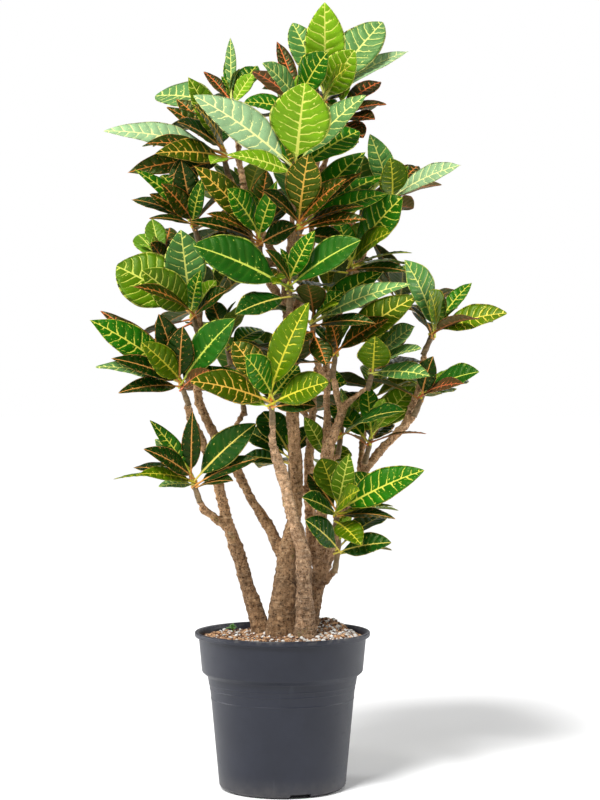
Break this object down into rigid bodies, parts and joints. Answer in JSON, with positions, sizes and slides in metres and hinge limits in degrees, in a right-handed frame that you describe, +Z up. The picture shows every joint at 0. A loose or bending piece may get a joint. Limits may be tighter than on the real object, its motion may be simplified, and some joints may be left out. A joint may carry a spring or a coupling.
{
  "type": "potted croton",
  "caption": "Bushy potted croton: branched woody trunks with rosettes of broad variegated leaves, standing in soil in a tapered round grower's pot.",
  "frame": {"origin": "centre of the pot's base, on the surface that it stands on", "axes": "+Z up along the pot's axis, -Y towards the front of the plant, +X to its right seen from the front"},
  "size_m": [0.626, 0.4929, 1.193],
  "materials": {
    "pot_plastic": "satin",
    "soil": "matte",
    "bark": "matte",
    "leaves": "satin",
    "weed": "satin"
  },
  "bodies": {
    "root": {"pot": "pot_plastic", "soil": "soil", "weed_sprout": "weed", "trunk_left": "bark", "trunk_middle": "bark", "trunk_front": "bark", "trunk_right": "bark", "shoot_crown_top": "leaves", "shoot_crown_front": "leaves", "shoot_crown_mid": "leaves", "shoot_crown_right": "leaves", "shoot_crown_back_left": "leaves", "shoot_upper_left": "leaves", "shoot_left_high": "leaves", "shoot_inner_high": "leaves", "shoot_right_top": "leaves", "shoot_right_upper": "leaves", "shoot_centre": "leaves", "shoot_centre_low": "leaves", "shoot_inner_low": "leaves", "shoot_right_centre": "leaves", "shoot_right_far": "leaves", "shoot_right_far_low": "leaves", "shoot_right_low": "leaves", "shoot_left_mid": "leaves", "shoot_left_low": "leaves", "shoot_left_back": "leaves", "shoot_front_low": "leaves", "shoot_left_lowest": "leaves", "shoot_inner_back": "leaves", "shoot_low_right": "leaves", "shoot_lowest_right": "leaves", "shoot_left_inner": "leaves", "shoot_back_high": "leaves", "shoot_back_high_left": "leaves", "shoot_back_high_right": "leaves", "shoot_back_left_low": "leaves", "shoot_back_middle": "leaves", "shoot_back_right": "leaves", "shoot_back_low": "leaves", "shoot_back_low_left": "leaves", "shoot_back_low_right": "leaves", "shoot_crown_inner": "leaves", "shoot_right_inner_low": "leaves", "shoot_right_back_low": "leaves"}
  },
  "joints": []
}
